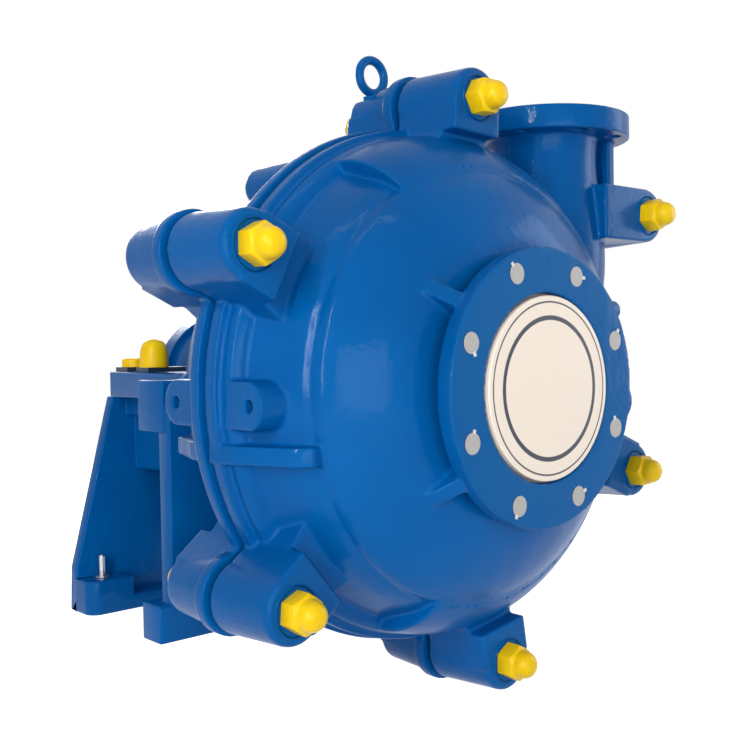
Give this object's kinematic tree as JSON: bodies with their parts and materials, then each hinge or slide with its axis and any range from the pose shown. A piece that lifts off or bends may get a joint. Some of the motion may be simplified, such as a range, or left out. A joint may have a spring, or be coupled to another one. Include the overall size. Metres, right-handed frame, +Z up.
{
  "type": "slurry pump",
  "caption": "Horizontal lined slurry pump with split bolted casing, flanged suction and discharge, bearing cartridge on a footed base and capped bolts.",
  "frame": {"origin": "centre of the suction flange's face, on the shaft axis", "axes": "-Y out of the suction flange, +Y along the shaft to its drive end, +Z up and out of the discharge flange"},
  "size_m": [0.7558, 0.783, 0.7911],
  "materials": {
    "blue_paint": "gloss",
    "white_iron": "as cast",
    "steel": "machined",
    "black_steel": "satin",
    "yellow_plastic": "gloss",
    "cream_plastic": "satin",
    "packing_fibre": "matte",
    "bronze": "machined",
    "bearing_steel": "ground"
  },
  "bodies": {
    "frame": {"cover_plate": "blue_paint", "frame_plate": "blue_paint", "base": "blue_paint", "volute_liner": "white_iron", "throatbush": "white_iron", "back_liner": "white_iron", "stuffing_box": "steel", "gland_stud_left": "steel", "gland_stud_right": "steel", "adjusting_screw": "steel", "eyebolt": "blue_paint", "cover_bolt_upper_left": "steel", "cover_bolt_top": "steel", "cover_bolt_upper_right": "steel", "cover_bolt_lower_right": "steel", "cover_bolt_bottom": "steel", "cover_bolt_lower_left": "steel", "frame_bolt_upper_right": "steel", "frame_bolt_upper_left": "steel", "frame_bolt_lower_left": "steel", "frame_bolt_lower_right": "steel", "clamp_bolt_front_left": "steel", "clamp_bolt_front_right": "steel", "clamp_bolt_rear_left": "steel", "clamp_bolt_rear_right": "steel", "clamp_washer_front_left": "black_steel", "clamp_washer_front_right": "black_steel", "clamp_washer_rear_left": "black_steel", "clamp_washer_rear_right": "black_steel", "cap_front_upper_left": "yellow_plastic", "cap_front_top": "yellow_plastic", "cap_front_upper_right": "yellow_plastic", "cap_front_lower_right": "yellow_plastic", "cap_front_bottom": "yellow_plastic", "cap_front_lower_left": "yellow_plastic", "cap_rear_upper_left": "yellow_plastic", "cap_rear_top": "yellow_plastic", "cap_rear_upper_right": "yellow_plastic", "cap_rear_lower_right": "yellow_plastic", "cap_rear_bottom": "yellow_plastic", "cap_rear_lower_left": "yellow_plastic", "clamp_cap_left": "yellow_plastic", "clamp_cap_right": "yellow_plastic", "packing_inner": "packing_fibre", "packing_outer": "packing_fibre", "neck_ring": "packing_fibre", "lantern_ring": "bronze"},
    "cartridge": {"bearing_housing": "blue_paint", "end_cover_front": "blue_paint", "end_cover_rear": "blue_paint", "bearing_front": "bearing_steel", "bearing_rear": "bearing_steel"},
    "rotor": {"shaft": "steel", "shaft_sleeve": "steel", "impeller": "white_iron"},
    "gland": {"gland_upper": "steel", "gland_lower": "steel", "gland_nut_left": "steel", "gland_nut_right": "steel"},
    "blank": {"suction_blank": "cream_plastic"}
  },
  "joints": [
    {"name": "cartridge_adjust", "type": "slide", "parent": "frame", "child": "cartridge", "axis": [0, 1, 0], "range_m": [-0.0015, 0.0015]},
    {"name": "rotor_spin", "type": "hinge", "parent": "cartridge", "child": "rotor", "pos_m": [0, 0.6, 0], "axis": [0, 1, 0], "continuous": true},
    {"name": "gland_draw", "type": "slide", "parent": "frame", "child": "gland", "axis": [0, 1, 0], "range_m": [0, 0.02]},
    {"name": "blank_pull", "type": "slide", "parent": "frame", "child": "blank", "axis": [0, -1, 0], "range_m": [0, 0.06]}
  ]
}
